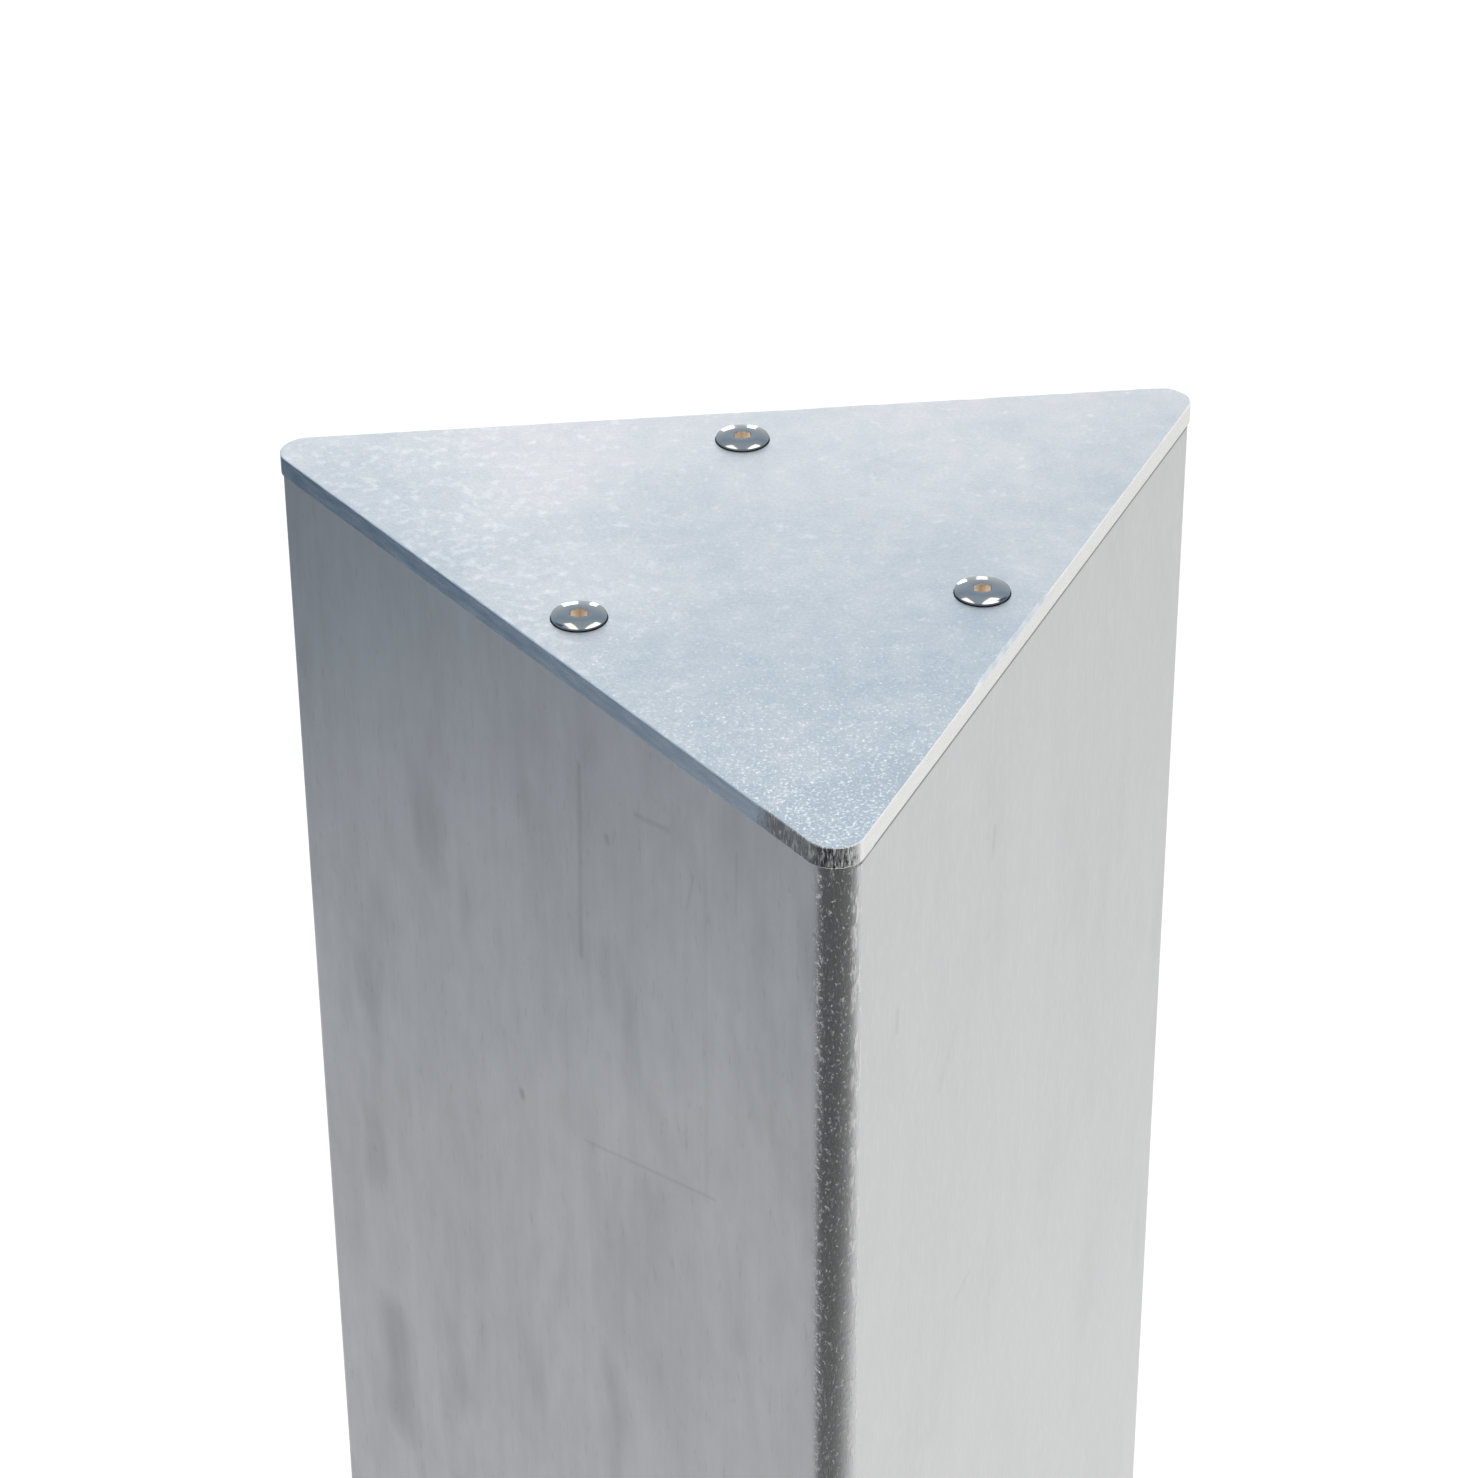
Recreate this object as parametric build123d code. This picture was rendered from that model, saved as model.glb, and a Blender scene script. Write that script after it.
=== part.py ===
"""Three-sided aluminium signpost with a screwed top cap and a bolt-down foot plate.

The post is one extrusion: a hollow triangle with rounded corners, and inside each wall, at its middle,
an open screw port that runs the whole length. The cap and the foot plate are each held by three
countersunk screws that run into those ports. Sign faces are fixed to the three flat sides.

Millimetres. +Z is up, the origin is on the post's axis at the foot plate's underside, one corner of the
post points along -Y and the back face looks along +Y.
"""

import math
import os

from build123d import *

# Post extrusion
POST_LENGTH = 1200.0
POST_SIDE = 180.0  # width of a face between its theoretical sharp corners
CORNER_RADIUS = 5.0
WALL = 3.5

# Screw ports inside the post
PORT_DEPTH = 10.5  # from the outer face to the port's axis
PORT_RING = 2.8  # wall of the ring round the bore
PORT_WEB = 6.0  # width of the web that ties the ring to the wall
PORT_SLOT = 2.2  # width of the slot that opens the ring towards the middle
PORT_ROOT_RADIUS = 0.8  # fillet where the web meets the wall
PORT_LEAD_IN = 0.5  # chamfer at both ends of the bore

# Cap plate and its three screws
CAP_THICKNESS = 4.0
CAP_OVERHANG = 0.4  # beyond the post, all round
CAP_EDGE_BREAK = 0.15
CAP_THREAD = 5.0
CAP_HEAD = 10.0
CAP_HEAD_RISE = 0.55  # height of the head's domed top
CAP_HEAD_PROUD = 0.5  # from the plate up to the rim of the head
CAP_SOCKET = 3.0
CAP_SOCKET_DEPTH = 2.2
CAP_SCREW_LENGTH = 16.0  # from the rim of the head to the tip

# Foot plate and its three screws
FOOT_THICKNESS = 12.0
FOOT_MARGIN = 50.0  # from a face of the post to the plate's edge
FOOT_CORNER_RADIUS = 30.0  # the anchor holes share its centre
FOOT_EDGE_BREAK = 1.0
ANCHOR_HOLE = 14.0
FOOT_THREAD = 8.0
FOOT_HEAD = 16.0
FOOT_HEAD_RISE = 0.0
FOOT_HEAD_PROUD = -0.5  # the heads stay inside the plate's underside
FOOT_SOCKET = 5.0
FOOT_SOCKET_DEPTH = 3.2
FOOT_SCREW_LENGTH = 45.0
FOOT_BORE_SPARE = 3.0  # the ports are opened out for the foot screws, this far past their tips

# Shared by both kinds of screw
HEAD_LAND = 0.35  # height of the straight rim above the head's cone
TIP_CHAMFER = 0.8
THREAD_CLEARANCE = 0.05  # radial, between a screw and its port
HOLE_CLEARANCE = 0.25  # radial, round a screw's shank in a plate

# Worked out from the sizes above
POST_APOTHEM = POST_SIDE / (2 * math.sqrt(3))  # from the axis to a face
PORT_RADIUS_FROM_AXIS = POST_APOTHEM - PORT_DEPTH
PORT_OUTER_RADIUS = CAP_THREAD / 2 + PORT_RING
FOOT_APOTHEM = POST_APOTHEM + FOOT_MARGIN
ANCHOR_RADIUS_FROM_AXIS = 2 * (FOOT_APOTHEM - FOOT_CORNER_RADIUS)
POST_BOTTOM = FOOT_THICKNESS
POST_TOP = POST_BOTTOM + POST_LENGTH
CAP_TOP = POST_TOP + CAP_THICKNESS

FACE_ANGLES = {"back": 90.0, "left": 210.0, "right": 330.0}  # outward normals, from +X
CORNER_ANGLES = (30.0, 150.0, 270.0)


def at_angle(distance, angle):
    """The point at that distance from the post's axis, in plan."""
    turn = math.radians(angle)
    return distance * math.cos(turn), distance * math.sin(turn)


def rounded_triangle(apothem, radius):
    """A triangle whose sides are that far from the axis, with its corners rounded."""
    corners = [at_angle(2 * apothem, angle) for angle in CORNER_ANGLES]
    outline = make_face(Polyline(*corners, close=True))
    return fillet(outline.vertices(), radius)


def port_place(angle):
    """A port's axis, with its local +X pointing at the wall."""
    return Location((*at_angle(PORT_RADIUS_FROM_AXIS, angle), 0), (0, 0, angle))


def port_metal():
    """The ring and its web, before the bore is cut, with the wall on the +X side."""
    reach = PORT_DEPTH - WALL / 2
    web = Rectangle(reach, PORT_WEB, align=(Align.MIN, Align.CENTER))
    return Circle(PORT_OUTER_RADIUS) + web


def port_hollow():
    """The bore and the slot that opens it towards the post's axis."""
    slot_length = PORT_OUTER_RADIUS + PORT_RING
    slot = Rectangle(slot_length, PORT_SLOT, align=(Align.MAX, Align.CENTER))
    return Circle(CAP_THREAD / 2) + slot


def web_roots(profile):
    """The corners where the webs leave the inside of the walls."""
    wall_inside = POST_APOTHEM - WALL
    found = []
    for angle in FACE_ANGLES.values():
        for side in (-1, 1):
            along, across = at_angle(1, angle)
            offset = side * PORT_WEB / 2
            root = Vector(wall_inside * along - offset * across, wall_inside * across + offset * along)
            found.append(min(profile.vertices(), key=lambda v: (Vector(*v) - root).length))
    return found


def root_radius():
    """The web's fillet, kept small enough for the gap between the ring and the wall."""
    ring_reach = math.sqrt(PORT_OUTER_RADIUS**2 - (PORT_WEB / 2) ** 2)
    gap = PORT_DEPTH - WALL - ring_reach
    return min(PORT_ROOT_RADIUS, 0.45 * gap)


def lead_in(bore_radius):
    """The tool for the chamfer at a bore's mouth, with the bore below Z = 0."""
    return Pos(0, 0, -PORT_LEAD_IN / 2) * Cone(bore_radius, bore_radius + PORT_LEAD_IN, PORT_LEAD_IN)


def make_post():
    profile = rounded_triangle(POST_APOTHEM, CORNER_RADIUS)
    profile -= rounded_triangle(POST_APOTHEM - WALL, max(CORNER_RADIUS - WALL, 0.5))
    for angle in FACE_ANGLES.values():
        profile += port_place(angle) * port_metal()
    profile = fillet(web_roots(profile), root_radius())
    for angle in FACE_ANGLES.values():
        profile -= port_place(angle) * port_hollow()
    post = Pos(0, 0, POST_BOTTOM) * extrude(profile, POST_LENGTH)

    foot_bore_radius = FOOT_THREAD / 2
    foot_screw_reach = FOOT_SCREW_LENGTH - FOOT_HEAD_PROUD - FOOT_THICKNESS
    foot_bore_length = foot_screw_reach + FOOT_BORE_SPARE
    foot_bore = Pos(0, 0, -foot_bore_length / 2) * Cylinder(foot_bore_radius, foot_bore_length)
    for angle in FACE_ANGLES.values():
        post -= over_port(angle, POST_TOP) * lead_in(CAP_THREAD / 2)
        post -= over_port(angle, POST_BOTTOM, head_up=False) * foot_bore
        post -= over_port(angle, POST_BOTTOM, head_up=False) * lead_in(foot_bore_radius)
    return post


def make_screw(thread, head, rise, socket, socket_depth, length):
    """A countersunk hexagon-socket screw along Z, head up, with the rim of its head at Z = 0."""
    shank_radius = thread / 2 - THREAD_CLEARANCE
    head_radius = head / 2
    cone_bottom = -(HEAD_LAND + head_radius - shank_radius)
    flat_top = Line((0, 0), (head_radius, 0))
    top = TangentArc((0, rise), (head_radius, 0), tangent=(1, 0)) if rise else flat_top
    sides = Polyline(
        (head_radius, 0),
        (head_radius, -HEAD_LAND),
        (shank_radius, cone_bottom),
        (shank_radius, TIP_CHAMFER - length),
        (shank_radius - TIP_CHAMFER, -length),
        (0, -length),
        (0, rise),
    )
    half_section = make_face(top + sides)
    screw = revolve(Plane.XZ * half_section, Axis.Z)

    drill_tip = socket / 2 * math.tan(math.radians(30))
    socket_walls = extrude(RegularPolygon(socket / 2, 6, major_radius=False), -socket_depth)
    socket_end = Pos(0, 0, -socket_depth - drill_tip / 2) * Cone(0, socket / 2, drill_tip)
    return screw - Pos(0, 0, rise) * (socket_walls + socket_end)


def screw_hole(thread, head, rim_height, plate_thickness):
    """The tool for a countersunk hole along Z, for a head whose rim is rim_height above the plate.

    The plate's face on the head's side is at Z = 0.
    """
    hole_radius = thread / 2 + HOLE_CLEARANCE
    head_radius = head / 2
    cone_top = rim_height - HEAD_LAND
    cone_bottom = cone_top - (head_radius - hole_radius)
    above_plate = max(cone_top, 0) + HEAD_LAND
    outline = Polyline(
        (0, above_plate),
        (head_radius, above_plate),
        (head_radius, cone_top),
        (hole_radius, cone_bottom),
        (hole_radius, -2 * plate_thickness),
        (0, -2 * plate_thickness),
        close=True,
    )
    return revolve(Plane.XZ * make_face(outline), Axis.Z)


def over_port(angle, height, head_up=True):
    """A place on a port's axis at that height, with its Z up or down."""
    x, y = at_angle(PORT_RADIUS_FROM_AXIS, angle)
    return Location((x, y, height), (0, 0, angle) if head_up else (180, 0, angle))


def make_cap():
    outline = rounded_triangle(POST_APOTHEM + CAP_OVERHANG, CORNER_RADIUS + CAP_OVERHANG)
    plate = Pos(0, 0, POST_TOP) * extrude(outline, CAP_THICKNESS)
    plate = chamfer(plate.faces().sort_by(Axis.Z)[-1].edges(), CAP_EDGE_BREAK)
    hole = screw_hole(CAP_THREAD, CAP_HEAD, CAP_HEAD_PROUD, CAP_THICKNESS)
    for angle in FACE_ANGLES.values():
        plate -= over_port(angle, CAP_TOP) * hole
    return plate


def make_foot():
    plate = extrude(rounded_triangle(FOOT_APOTHEM, FOOT_CORNER_RADIUS), FOOT_THICKNESS)
    plate = chamfer(plate.faces().sort_by(Axis.Z)[-1].edges(), FOOT_EDGE_BREAK)
    hole = screw_hole(FOOT_THREAD, FOOT_HEAD, FOOT_HEAD_PROUD, FOOT_THICKNESS)
    for angle in FACE_ANGLES.values():
        plate -= over_port(angle, 0, head_up=False) * hole
    for angle in CORNER_ANGLES:
        x, y = at_angle(ANCHOR_RADIUS_FROM_AXIS, angle)
        plate -= Pos(x, y, FOOT_THICKNESS / 2) * Cylinder(ANCHOR_HOLE / 2, 2 * FOOT_THICKNESS)
    return plate


def make_cap_screw(angle):
    screw = make_screw(
        CAP_THREAD, CAP_HEAD, CAP_HEAD_RISE, CAP_SOCKET, CAP_SOCKET_DEPTH, CAP_SCREW_LENGTH
    )
    return over_port(angle, CAP_TOP + CAP_HEAD_PROUD) * screw


def make_foot_screw(angle):
    screw = make_screw(
        FOOT_THREAD, FOOT_HEAD, FOOT_HEAD_RISE, FOOT_SOCKET, FOOT_SOCKET_DEPTH, FOOT_SCREW_LENGTH
    )
    return over_port(angle, -FOOT_HEAD_PROUD, head_up=False) * screw


def save(shape, node):
    export_step(shape, f"parts/{node}.step")


os.makedirs("parts", exist_ok=True)
save(make_post(), "post")
save(make_cap(), "cap_plate")
save(make_foot(), "foot_plate")
for name, face_angle in FACE_ANGLES.items():
    save(make_cap_screw(face_angle), f"cap_screw_{name}")
    save(make_foot_screw(face_angle), f"foot_screw_{name}")
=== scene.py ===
import math

import bmesh
import bpy
from mathutils import Matrix, Vector, noise


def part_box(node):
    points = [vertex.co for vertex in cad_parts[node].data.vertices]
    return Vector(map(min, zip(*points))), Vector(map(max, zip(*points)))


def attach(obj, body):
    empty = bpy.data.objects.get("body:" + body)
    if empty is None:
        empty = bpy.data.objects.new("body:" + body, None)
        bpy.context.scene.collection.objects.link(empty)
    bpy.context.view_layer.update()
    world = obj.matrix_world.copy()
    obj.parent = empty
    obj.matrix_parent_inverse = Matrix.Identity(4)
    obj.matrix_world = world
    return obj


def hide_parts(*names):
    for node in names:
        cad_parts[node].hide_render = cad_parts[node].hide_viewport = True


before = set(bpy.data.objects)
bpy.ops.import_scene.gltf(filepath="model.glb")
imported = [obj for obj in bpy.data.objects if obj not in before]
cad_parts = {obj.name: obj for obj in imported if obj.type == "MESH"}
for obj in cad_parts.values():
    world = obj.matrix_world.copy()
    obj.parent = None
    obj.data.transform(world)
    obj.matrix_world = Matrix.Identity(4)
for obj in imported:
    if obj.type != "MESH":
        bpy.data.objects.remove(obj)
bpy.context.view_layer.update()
scene = bpy.context.scene


# ---------------------------------------------------------------- camera
# The camera stands close to the signpost, higher than its top and a little to the left of the front
# corner, and looks down on the cap through a long lens.
cap_low, cap_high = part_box("cap_plate")
cap_centre = Vector((0, 0, cap_high.z))
heading = math.radians(6.095)  # from +Y towards +X
dip = math.radians(32.056)
roll = math.radians(-0.452)

look = Vector((math.sin(heading) * math.cos(dip), math.cos(heading) * math.cos(dip), -math.sin(dip)))
level = Vector((math.cos(heading), -math.sin(heading), 0))
upright = level.cross(look)
across = math.cos(roll) * level + math.sin(roll) * upright
above = -math.sin(roll) * level + math.cos(roll) * upright

camera = bpy.data.objects.new("camera", bpy.data.cameras.new("camera"))
camera.data.lens = 110.54
camera.data.sensor_width = 36
camera.matrix_world = Matrix.Translation(cap_centre + Vector((-0.0813, -0.7087, 0.4059))) @ Matrix(
    (across, above, -look)
).transposed().to_4x4()
scene.collection.objects.link(camera)
scene.camera = camera
scene.view_settings.view_transform = "Standard"


# ---------------------------------------------------------------- studio
# A wide white floor under an even, pale sky. Curved screens stand round the signpost, grey on the left,
# dark in front and white on the right. Softboxes and two far windows put the glints on the screw
# heads. Only the metal's reflections see the screens and panels.
def link(tree, start, end):
    tree.links.new(start, end)


def add_node(tree, kind, **settings):
    made = tree.nodes.new(kind)
    for key, value in settings.items():
        if key in made.inputs:
            made.inputs[key].default_value = value
        else:
            setattr(made, key, value)
    return made


def coordinates(tree, kind="Object"):
    """The three coordinates of the place on the object, in metres, or those of another kind."""
    place = add_node(tree, "ShaderNodeTexCoord")
    split = add_node(tree, "ShaderNodeSeparateXYZ")
    link(tree, place.outputs[kind], split.inputs[0])
    return split.outputs


def set_ramp(ramp, stops):
    """Gives a colour ramp its stops, each a place and a grey or a colour."""
    points = ramp.color_ramp.elements
    while len(points) < len(stops):
        points.new(0.5)
    for point, (place, tone) in zip(points, stops):
        point.position = place
        point.color = (tone, tone, tone, 1) if isinstance(tone, (int, float)) else (*tone, 1)


world = bpy.data.worlds.new("sky")
world.use_nodes = True
scene.world = world
sky = world.node_tree
sky_ramp = add_node(sky, "ShaderNodeValToRGB")
set_ramp(
    sky_ramp,
    [
        (0.0, (1.0, 1.0, 1.0)),
        (0.30, (1.0, 1.0, 1.0)),
        (0.46, (0.84, 0.92, 1.0)),
        (0.60, (0.66, 0.77, 0.87)),
        (0.75, (0.86, 0.92, 0.98)),
        (1.0, (0.93, 0.96, 1.0)),
    ],
)
link(sky, coordinates(sky, "Generated")["Z"], sky_ramp.inputs[0])
link(sky, sky_ramp.outputs[0], sky.nodes["Background"].inputs["Color"])
sky.nodes["Background"].inputs["Strength"].default_value = 1.08

floor_mesh = bmesh.new()
bmesh.ops.create_circle(floor_mesh, cap_ends=True, segments=96, radius=40)
floor_data = bpy.data.meshes.new("floor")
floor_mesh.to_mesh(floor_data)
floor_mesh.free()
floor = bpy.data.objects.new("floor", floor_data)
scene.collection.objects.link(floor)
floor_paint = bpy.data.materials.new("floor_paint")
floor_paint.use_nodes = True
floor_shader = floor_paint.node_tree.nodes["Principled BSDF"]
floor_shader.inputs["Base Color"].default_value = (0.93, 0.885, 0.845, 1)
floor_shader.inputs["Roughness"].default_value = 0.9
floor_shader.inputs["Specular IOR Level"].default_value = 0.1
floor_data.materials.append(floor_paint)

top_light = bpy.data.objects.new("top_light", bpy.data.lights.new("top_light", "SUN"))
top_light.data.energy = 0.65
top_light.data.angle = math.radians(40)
top_light.visible_glossy = False
scene.collection.objects.link(top_light)


def make_panel(name, work):
    """A glowing panel that only reflections see. Gives the panel, its node tree and its glow."""
    data = bpy.data.meshes.new(name)
    work.to_mesh(data)
    work.free()
    panel = bpy.data.objects.new(name, data)
    scene.collection.objects.link(panel)
    panel.visible_camera = False
    panel.visible_diffuse = False
    panel.visible_shadow = False
    panel.visible_transmission = False
    paint = bpy.data.materials.new(name)
    paint.use_nodes = True
    tree = paint.node_tree
    tree.nodes.remove(tree.nodes["Principled BSDF"])
    glow = add_node(tree, "ShaderNodeEmission")
    link(tree, glow.outputs[0], tree.nodes["Material Output"].inputs["Surface"])
    data.materials.append(paint)
    return panel, tree, glow


def stand_screen(name, distance, rows, stops):
    """A curved screen round the signpost, lit by its height. A row is a height, and the headings
    from +X, in degrees, between which the screen stands at that height."""
    work = bmesh.new()
    steps = 48
    points = []
    for height, start, end in rows:
        headings = [math.radians(start + (end - start) * i / steps) for i in range(steps + 1)]
        places = [(distance * math.cos(turn), distance * math.sin(turn), height) for turn in headings]
        points.append([work.verts.new(place) for place in places])
    for lower, upper in zip(points, points[1:]):
        for i in range(steps):
            work.faces.new((lower[i], lower[i + 1], upper[i + 1], upper[i]))
    screen, tree, glow = make_panel(name, work)
    share = add_node(tree, "ShaderNodeMapRange")
    share.inputs["From Min"].default_value = rows[0][0]
    share.inputs["From Max"].default_value = rows[-1][0]
    ramp = add_node(tree, "ShaderNodeValToRGB")
    set_ramp(ramp, stops)
    link(tree, coordinates(tree)["Z"], share.inputs["Value"])
    link(tree, share.outputs[0], ramp.inputs[0])
    link(tree, ramp.outputs[0], glow.inputs["Color"])


stand_screen(
    "left_screen",
    0.90,
    [(0.0, 112, 205), (1.15, 112, 205)],
    [
        (0.0, (0.65, 0.655, 0.67)),
        (0.36, (0.61, 0.615, 0.635)),
        (0.48, (0.60, 0.615, 0.64)),
        (0.56, (0.43, 0.46, 0.50)),
        (0.62, (0.23, 0.285, 0.345)),
        (0.67, (0.18, 0.22, 0.265)),
        (1.0, (0.105, 0.13, 0.158)),
    ],
)
stand_screen(
    "front_screen",
    0.88,
    [(0.0, 203, 246), (0.34, 203, 294), (0.5, 203, 326), (0.6, 203, 338), (1.12, 203, 343)],
    [(0.0, 0.10), (0.3, 0.06), (0.55, 0.02), (1.0, 0.01)],
)
stand_screen(
    "grey_screen",
    0.89,
    [(0.0, 246, 264), (0.34, 294, 310), (0.5, 326, 342), (0.6, 338, 354), (1.12, 343, 359)],
    [(0.0, 0.5), (1.0, 0.4)],
)
stand_screen(
    "right_screen",
    0.90,
    [(0.0, 20, 80), (0.95, 20, 80)],
    [(0.0, 1.02), (0.32, 1.02), (0.55, 0.965), (0.70, 0.91), (1.0, 0.88)],
)


def hang_softbox(name, way, distance, size, tone, strength):
    """A glowing panel facing the signpost's top. Its way is given to the right, ahead and up from the
    top, as the camera stands, and its size is a width and a height."""
    right, ahead, up = way
    level_look = Vector((look.x, look.y, 0)).normalized()
    box_way = (right * level + ahead * level_look + up * Vector((0, 0, 1))).normalized()
    place = Matrix.Translation(cap_centre + distance * box_way)
    place = place @ box_way.to_track_quat("Z", "Y").to_matrix().to_4x4()
    place = place @ Matrix.Diagonal((size[0] / 2, size[1] / 2, 1, 1))
    work = bmesh.new()
    bmesh.ops.create_grid(work, x_segments=1, y_segments=1, size=1, matrix=place)
    softbox, _, glow = make_panel(name, work)
    glow.inputs["Color"].default_value = (*tone, 1)
    glow.inputs["Strength"].default_value = strength


CREAM = (1.0, 0.84, 0.73)
WHITE = (1.0, 1.0, 1.0)
PALE_BLUE = (0.5, 0.75, 1.0)
hang_softbox("right_softbox", (0.195, 0.446, 0.895), 1.5, (0.34, 0.7), CREAM, 6.0)
hang_softbox("left_softbox", (-0.145, 0.446, 0.895), 1.5, (0.19, 0.7), CREAM, 4.6)
hang_softbox("right_window", (0.062, 1.0, 0.02), 10, (0.60, 5.2), WHITE, 6.0)
hang_softbox("left_window", (-0.102, 1.0, 0.02), 10, (1.05, 5.2), WHITE, 6.5)
hang_softbox("right_panel", (0.50, 0.52, 0.68), 1.4, (0.5, 0.55), PALE_BLUE, 0.35)
hang_softbox("left_panel", (-0.50, 0.52, 0.68), 1.4, (0.5, 0.55), PALE_BLUE, 0.35)


# ---------------------------------------------------------------- post
# One aluminium extrusion: a hollow triangle with rounded corners, and an open screw port along the
# middle of each wall inside. Mill finish, with the die's faint lines and a few handling marks.
FACE_ANGLES = {"right": 330, "back": 90, "left": 210}
post_low, post_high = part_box("post")
PORT_FROM_FACE = 0.0105
CORNER = 0.005
WALL = 0.0035
BORE = 0.0025
FOOT_BORE = 0.004
RING = 0.0053
HALF_WEB = 0.003
HALF_SLOT = 0.0011
ROOT = 0.0008
FOOT_BORE_TOP = post_low.z + 0.0485
apothem = post_high.y
port_from_axis = apothem - PORT_FROM_FACE


def turned(x, y, angle):
    """A point in plan, turned about the post's axis by an angle in degrees."""
    turn = math.radians(angle)
    return (x * math.cos(turn) - y * math.sin(turn), x * math.sin(turn) + y * math.cos(turn))


def arc(x, y, radius, start, end, steps):
    """Points on an arc, in plan, angles in degrees."""
    found = []
    for i in range(steps + 1):
        turn = math.radians(start + (end - start) * i / steps)
        found.append((x + radius * math.cos(turn), y + radius * math.sin(turn)))
    return found


def triangle_outline(to_side, radius, corner_steps, side_steps):
    """Points round a triangle with rounded corners, anticlockwise, starting after the corner at -30."""
    found = []
    half = math.sqrt(3) * (to_side - radius)  # half a straight side
    for angle in FACE_ANGLES.values():
        for i in range(1, side_steps):
            found.append(turned(to_side, -half + 2 * half * i / side_steps, angle))
        corner_x, corner_y = to_side - radius, half
        for x, y in arc(corner_x, corner_y, radius, 0, 120, corner_steps):
            found.append(turned(x, y, angle))
    return found


def hollow_outline(bore):
    """The inside of the post: three walls, each with its screw port, joined by small corner arcs."""
    wall_inside = apothem - WALL
    corner = CORNER - WALL
    half = math.sqrt(3) * (wall_inside - corner)
    web_at_ring = math.degrees(math.asin(HALF_WEB / RING))
    slot_at_ring = 180 - math.degrees(math.asin(HALF_SLOT / RING))
    slot_at_bore = 180 - math.degrees(math.asin(HALF_SLOT / bore))
    side = []
    side += arc(wall_inside - ROOT, -HALF_WEB - ROOT, ROOT, 0, 90, 4)
    side += arc(port_from_axis, 0, RING, -web_at_ring, -slot_at_ring, 16)
    side += arc(port_from_axis, 0, bore, -slot_at_bore, slot_at_bore, 32)
    side += arc(port_from_axis, 0, RING, slot_at_ring, web_at_ring, 16)
    side += arc(wall_inside - ROOT, HALF_WEB + ROOT, ROOT, -90, 0, 4)
    side += arc(wall_inside - corner, half, corner, 0, 120, 8)
    return [turned(x, y, angle) for angle in FACE_ANGLES.values() for x, y in side]


def add_ring(work, outline, height):
    return [work.verts.new((x, y, height)) for x, y in outline]


def join_rings(work, lower, upper, paint=0, inward=False):
    """Faces between two rings that have as many points as each other."""
    for i in range(len(lower)):
        k = (i + 1) % len(lower)
        corners = (lower[i], lower[k], upper[k], upper[i])
        face = work.faces.new(corners[::-1] if inward else corners)
        face.material_index = paint
        face.smooth = True


def close_end(work, rings, paint=0, up=True):
    """A flat end between an outer ring and the holes in it."""
    edges = [work.edges.get((ring[i], ring[i - 1])) for ring in rings for i in range(len(ring))]
    made = bmesh.ops.triangle_fill(work, edges=edges, use_beauty=True, normal=(0, 0, 1 if up else -1))
    for face in made["geom"]:
        if isinstance(face, bmesh.types.BMFace):
            face.material_index = paint
            face.smooth = True
            if (face.normal.z > 0) != up:
                face.normal_flip()


def finish_piece(work, name, node, paints, sharp=32):
    """Turns the work into an object that stands for its CAD node and rides on the post's body."""
    bmesh.ops.remove_doubles(work, verts=work.verts, dist=1e-7)
    data = bpy.data.meshes.new(name)
    work.to_mesh(data)
    work.free()
    for paint in paints:
        data.materials.append(paint)
    data.set_sharp_from_angle(angle=math.radians(sharp))
    piece = bpy.data.objects.new(name, data)
    scene.collection.objects.link(piece)
    even = piece.modifiers.new("even_shading", "WEIGHTED_NORMAL")
    even.keep_sharp = True
    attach(piece, "root")
    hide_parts(node)


def start_paint(name, metal, rough):
    """A metal whose colour and roughness are wired up later. Gives the node tree and its shader."""
    paint = bpy.data.materials.new(name)
    paint.use_nodes = True
    shader = paint.node_tree.nodes["Principled BSDF"]
    shader.inputs["Base Color"].default_value = (*metal, 1)
    shader.inputs["Metallic"].default_value = 1.0
    shader.inputs["Roughness"].default_value = rough
    return paint, paint.node_tree, shader


def grain(tree, scale, detail=2.0, rough=0.5, stretch=(1, 1, 1)):
    """Noise over the object's own coordinates, scale in features per metre. Gives its value socket."""
    place = add_node(tree, "ShaderNodeTexCoord")
    mapping = add_node(tree, "ShaderNodeMapping")
    mapping.inputs["Scale"].default_value = stretch
    texture = add_node(tree, "ShaderNodeTexNoise")
    texture.inputs["Scale"].default_value = scale
    texture.inputs["Detail"].default_value = detail
    texture.inputs["Roughness"].default_value = rough
    link(tree, place.outputs["Object"], mapping.inputs["Vector"])
    link(tree, mapping.outputs[0], texture.inputs["Vector"])
    return texture.outputs["Fac"]


def spread(tree, value, low, high, to_low, to_high):
    """Maps a value from one range to another, clamped."""
    made = add_node(tree, "ShaderNodeMapRange")
    made.inputs["From Min"].default_value = low
    made.inputs["From Max"].default_value = high
    made.inputs["To Min"].default_value = to_low
    made.inputs["To Max"].default_value = to_high
    link(tree, value, made.inputs["Value"])
    return made.outputs[0]


def combine(tree, how, first, second):
    """Adds, multiplies or otherwise combines two values; the second may be a number."""
    made = add_node(tree, "ShaderNodeMath", operation=how)
    link(tree, first, made.inputs[0])
    if isinstance(second, (int, float)):
        made.inputs[1].default_value = second
    else:
        link(tree, second, made.inputs[1])
    return made.outputs[0]


def add_shares(tree, total, *shares):
    """A value with shares of other values added to it, each given as a value and a factor."""
    for value, factor in shares:
        total = combine(tree, "ADD", total, combine(tree, "MULTIPLY", value, factor))
    return total


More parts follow.
